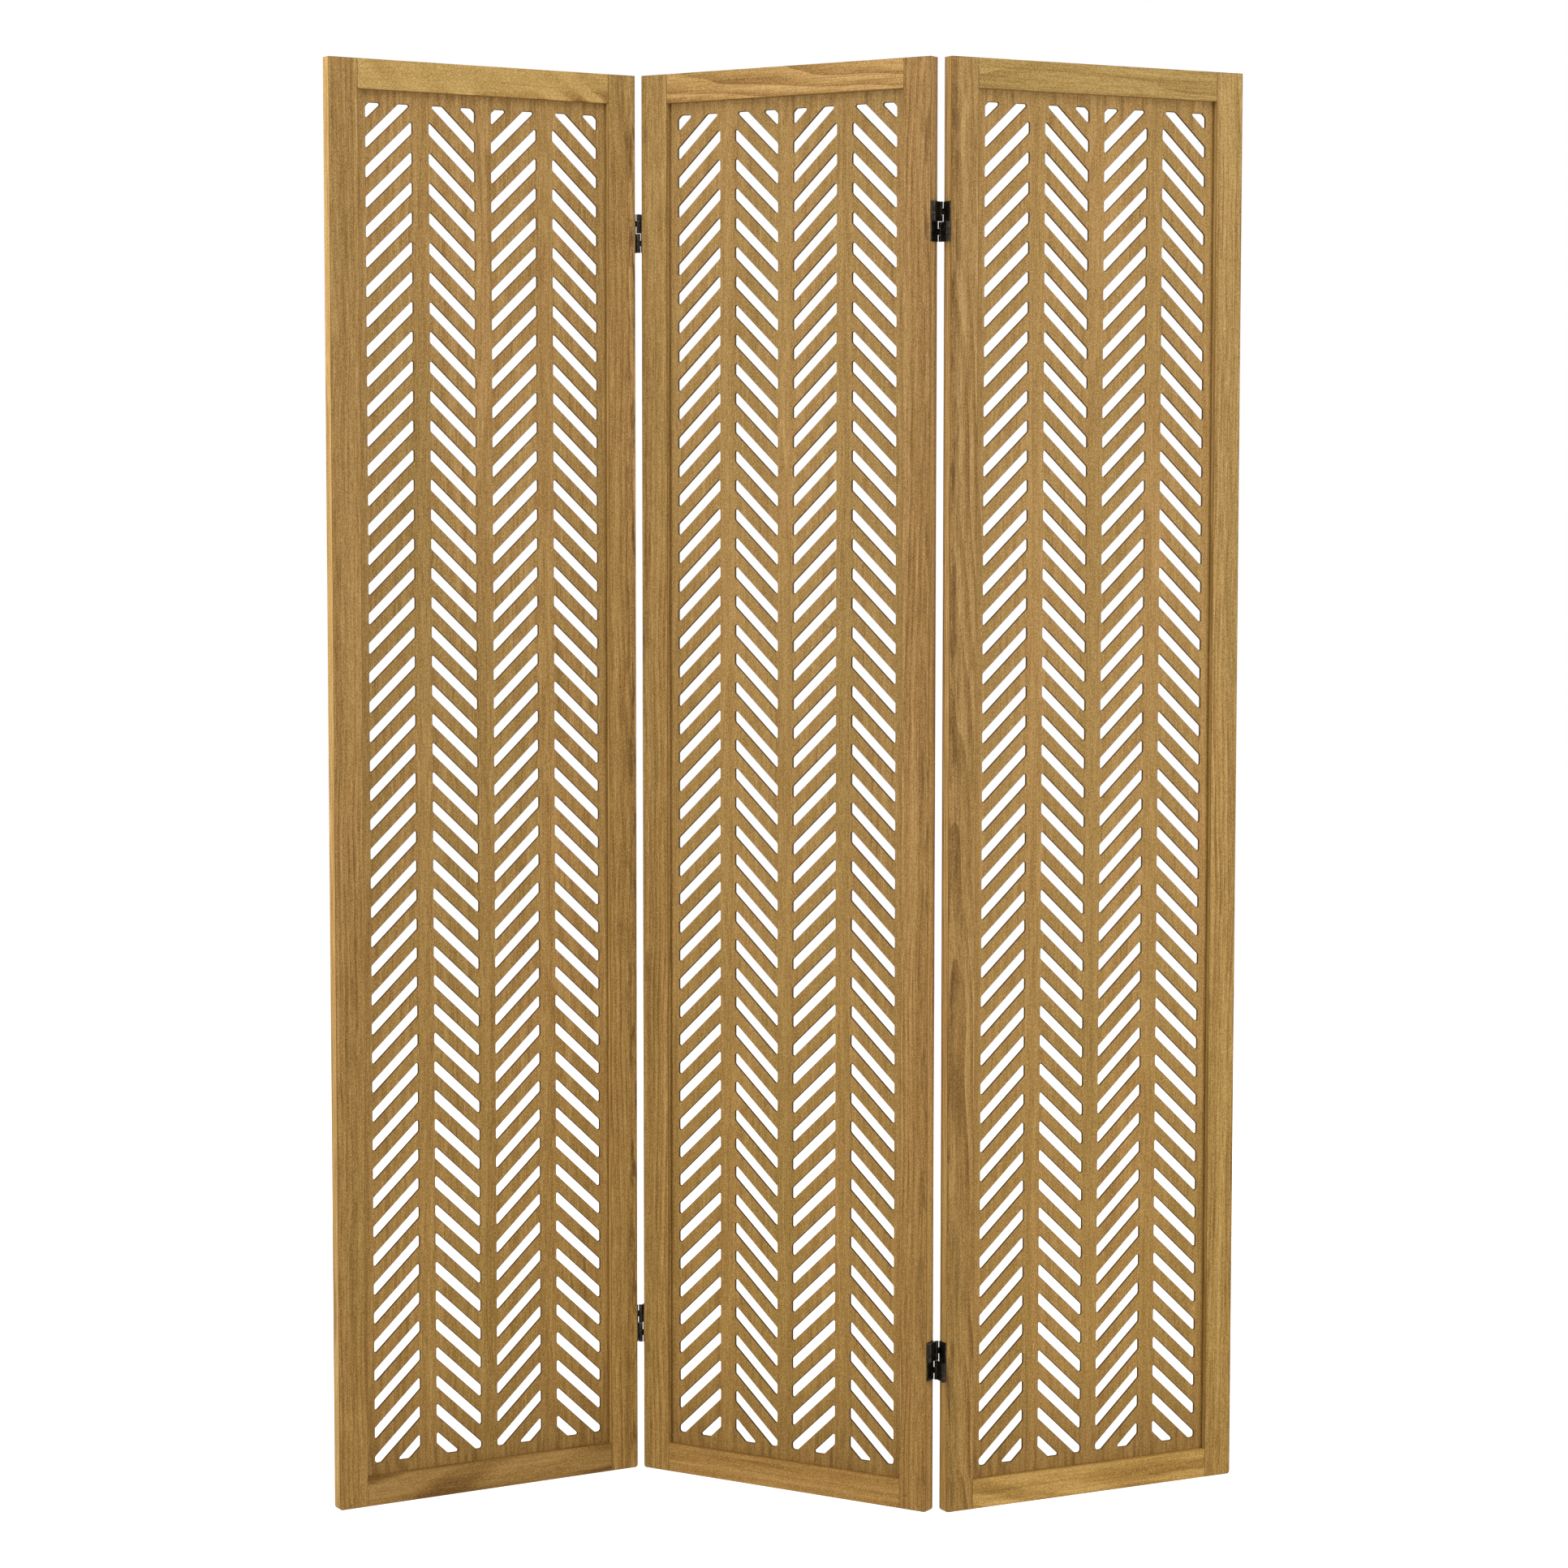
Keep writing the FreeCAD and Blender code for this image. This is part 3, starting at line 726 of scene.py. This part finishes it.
    def board_wood(self) -> bpy.types.Material:
        """Finishes the pierced board: its cut walls dark as painted shade, and painted shade along the
        frame.

        Returns:
            The finished material.
        """
        draft = self.draft(Member.FRETWORK)
        graph = draft.graph
        # Painted shade on the board beside the stiles and under the rails, where the frame shades it
        reach_x = (self.along.length - self.stile_width) / 2
        beside = graph.step(draft.aside, reach_x - self.frame_shade_reach, reach_x)
        reach_z = self.height / 2 - self.rail_height
        lift = graph.combine("SUBTRACT", draft.rise, self.height / 2)
        off_middle = graph.unsigned(lift)
        under = graph.step(off_middle, reach_z - self.frame_shade_reach, reach_z)
        stain_and_painted_shade = graph.times(graph.combine("MAXIMUM", beside, under), self.frame_shade_strength)
        ends = graph.step(off_middle, reach_z - self.end_reach, reach_z)
        dashes = graph.times(graph.times(ends, draft.strokes), self.end_strokes)
        low = graph.step(draft.rise, self.foot_reach, self.rail_height)
        shade = graph.scale_add(low, self.foot_shade, graph.combine("MAXIMUM", stain_and_painted_shade, dashes))
        colour = graph.mix(shade, draft.colour, self.stain_and_painted_shade)
        # Painted shade: the slot walls, which face neither front nor back, take the dark colour
        across = self.untwist.transposed() @ Vector((0.0, 1.0, 0.0))
        wall = graph.combine("SUBTRACT", 1.0, graph.step(self.facing(graph, across), *self.wall_span))
        return self.wood.finish(graph, graph.mix(wall, colour, self.painted_cut_shade), draft.height)

    def arris(self, name: str, shade: Colour) -> bpy.types.Material:
        """Finishes eased arrises in a darker, mottled colour, a painted shade along them.

        Args:
            name: which arrises.
            shade: their colour.

        Returns:
            The finished material.
        """
        graph = ShaderGraph(f"{name}_{self.side.value}")
        spot = graph.add("ShaderNodeTexCoord", {}).outputs["Object"]
        darker, lighter = (scaled(shade, share) for share in self.arris_mottle_span)
        colour = graph.mix(graph.noise(spot, self.arris_mottle), darker, lighter)
        return graph.surface({"Base Color": colour, "Roughness": self.wood.roughness,
                              "Specular IOR Level": self.wood.specular})

    def ease(self, piece: bpy.types.Object, width: float, facets: int) -> None:
        """Eases a piece's arrises and gives them its second material.

        Args:
            piece: the piece.
            width: how far the easing reaches.
            facets: how many facets it has.
        """
        weld = piece.modifiers.new("weld", "WELD")
        weld.merge_threshold = self.weld_distance
        bevel = piece.modifiers.new("arris", "BEVEL")
        bevel.width = width
        bevel.segments = facets
        bevel.limit_method = "ANGLE"
        bevel.angle_limit = self.arris_angle
        bevel.use_clamp_overlap = False
        bevel.loop_slide = False
        bevel.material = self.arris_slot
        piece.modifiers.new("shading", "WEIGHTED_NORMAL")

    def dress(self) -> None:
        """Finishes every piece of the panel."""
        # Stiles get darker arrises and the slots dark ones, both painted shade; rails keep their wood
        grain_marks_and_arris_shade = self.arris("shaded_arris", self.painted_arris_shade)
        cut = self.arris("cut_arris", self.painted_cut_shade)
        for member in Member:
            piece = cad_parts[self.node(member)]
            piece.data.materials.clear()
            if member is Member.FRETWORK:
                piece.data.materials.append(self.board_wood())
                piece.data.materials.append(cut)
                self.ease(piece, self.slot_arris, self.slot_facets)
            else:
                wood = self.frame_wood(member)
                piece.data.materials.append(wood)
                piece.data.materials.append(wood if member.lying else grain_marks_and_arris_shade)
                self.ease(piece, self.frame_arris, self.frame_facets)
            log.info("dressed %s", piece.name)


@dataclass
class Hinge:
    """One two-way hinge: two leaves, two links, their pins and screws."""

    joint: Side
    level: HingeLevel
    metal: bpy.types.Material
    pin_metal: bpy.types.Material
    pieces: tuple[str, ...] = ("left_leaf", "right_leaf", "upper_link", "lower_link")
    fasteners: tuple[str, ...] = ("upper_pins", "lower_pins", "left_screws", "right_screws")

    def dress(self) -> None:
        """Finishes every piece of the hinge."""
        for names, material in ((self.pieces, self.metal), (self.fasteners, self.pin_metal)):
            for name in names:
                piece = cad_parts[f"{self.joint.value}_{self.level.value}_hinge_{name}"]
                piece.data.materials.clear()
                piece.data.materials.append(material)
                log.info("dressed %s", piece.name)


@dataclass(frozen=True)
class SoftBox:
    """A soft box that is turned to the middle of the object.

    Attributes:
        name: the lamp's name.
        place: where it hangs.
        width: its width.
        height: its height.
        power: its power in watts.
    """

    name: str
    place: Triple
    width: float
    height: float
    power: float

    def hang(self) -> None:
        """Hangs the box."""
        lamp = bpy.data.lights.new(self.name, "AREA")
        lamp.shape = "RECTANGLE"
        lamp.size = self.width
        lamp.size_y = self.height
        lamp.energy = self.power
        box = bpy.data.objects.new(self.name, lamp)
        bpy.context.scene.collection.objects.link(box)
        target = (CAD_BOX[0] + CAD_BOX[1]) / 2
        box.location = self.place
        box.rotation_euler = (target - Vector(self.place)).to_track_quat("-Z", "Y").to_euler()


# Two boxes at the sides, one above and one behind
SOFT_BOXES = (
    SoftBox("left_box", (-3.1, -1.9, 1.35), 1.4, 2.2, 68.0),
    SoftBox("right_box", (3.1, -1.9, 1.0), 1.4, 2.2, 61.0),
    SoftBox("top_box", (0.0, -1.7, 3.4), 2.4, 1.2, 31.0),
    SoftBox("back_box", (0.0, 3.4, 2.6), 2.6, 1.6, 66.0),
)


@dataclass
class Studio:
    """A pale floor, soft boxes and the camera."""

    floor_size: float = 24.0
    floor_grey: float = 0.58
    white: float = 1.0
    ambient: float = 0.34
    seen_glow: float = 0.8
    seen_grey: float = 0.6
    camera_place: Vector = field(default_factory=lambda: Vector((0.0313, -4.492, 1.1933)))
    camera_yaw: float = math.radians(-0.503)
    camera_pitch: float = math.radians(4.320)
    camera_roll: float = math.radians(0.040)
    focal_pixels: float = 4653.0
    photo_width: float = 1932.0
    sensor: float = 36.0

    def seen_directly(self, tree: bpy.types.NodeTree) -> bpy.types.NodeSocket:
        """Tells what the camera, a reflection or a glass sees from what lights the object.

        Args:
            tree: the node tree that asks.

        Returns:
            1 for a ray that shows the background, 0 for one that gathers light.
        """
        path = tree.nodes.new("ShaderNodeLightPath")
        socket = path.outputs["Is Camera Ray"]
        for name in ("Is Glossy Ray", "Is Transmission Ray"):
            larger = tree.nodes.new("ShaderNodeMath")
            larger.operation = "MAXIMUM"
            tree.links.new(socket, larger.inputs[0])
            tree.links.new(path.outputs[name], larger.inputs[1])
            socket = larger.outputs[0]
        return socket

    def build_world(self) -> None:
        """Makes a white background that lights the object as a grey one."""
        world = bpy.data.worlds.new("studio")
        world.use_nodes = True
        tree = world.node_tree
        background = tree.nodes["Background"]
        strength = tree.nodes.new("ShaderNodeMapRange")
        strength.inputs["To Min"].default_value = self.ambient
        strength.inputs["To Max"].default_value = self.white
        tree.links.new(self.seen_directly(tree), strength.inputs["Value"])
        tree.links.new(strength.outputs[0], background.inputs["Strength"])
        background.inputs["Color"].default_value = grey(1.0)
        bpy.context.scene.world = world

    def build_floor(self) -> None:
        """Lays a pale floor that is seen as white and keeps the shadow."""
        bpy.ops.object.select_all(action="DESELECT")
        bpy.ops.mesh.primitive_plane_add(size=self.floor_size)
        floor = bpy.context.active_object
        floor.name = "floor"
        graph = ShaderGraph("pale_floor")
        pale = graph.add("ShaderNodeBsdfDiffuse", {"Color": grey(self.floor_grey)})
        seen = graph.add("ShaderNodeBsdfDiffuse", {"Color": grey(self.seen_grey)})
        glow = graph.add("ShaderNodeEmission", {"Strength": self.seen_glow})
        bright = graph.add("ShaderNodeAddShader", {0: seen.outputs[0], 1: glow.outputs[0]})
        mixed = graph.add("ShaderNodeMixShader", {0: self.seen_directly(graph.tree), 1: pale.outputs[0],
                                                  2: bright.outputs[0]})
        graph.add("ShaderNodeOutputMaterial", {"Surface": mixed.outputs[0]})
        floor.data.materials.append(graph.material)

    def build_camera(self) -> None:
        """Stands the camera where the screen is seen from."""
        camera = bpy.data.objects.new("camera", bpy.data.cameras.new("camera"))
        bpy.context.scene.collection.objects.link(camera)
        camera.location = self.camera_place
        camera.rotation_euler = (QUARTER_TURN - self.camera_pitch, -self.camera_roll, -self.camera_yaw)
        camera.data.sensor_width = self.sensor
        camera.data.lens = self.focal_pixels / self.photo_width * self.sensor
        bpy.context.scene.camera = camera

    def build(self) -> None:
        """Builds the whole studio."""
        bpy.context.scene.view_settings.view_transform = "Standard"
        self.build_world()
        self.build_floor()
        for box in SOFT_BOXES:
            box.hang()
        self.build_camera()


def write_sizes() -> None:
    """Brings the scene up to date."""
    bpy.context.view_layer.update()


def main() -> None:
    """Dresses the panels and the hinges, and builds the studio."""
    logging.basicConfig(level=logging.INFO)
    for side in Side:
        Panel(side).dress()
    metal = LEAF_METAL.build("blackened_bronze")
    pin_metal = PIN_METAL.build("blackened_pin")
    for joint in (Side.LEFT, Side.RIGHT):
        for level in HingeLevel:
            Hinge(joint, level, metal, pin_metal).dress()
    Studio().build()
    write_sizes()


if __name__ == "__main__":
    main()
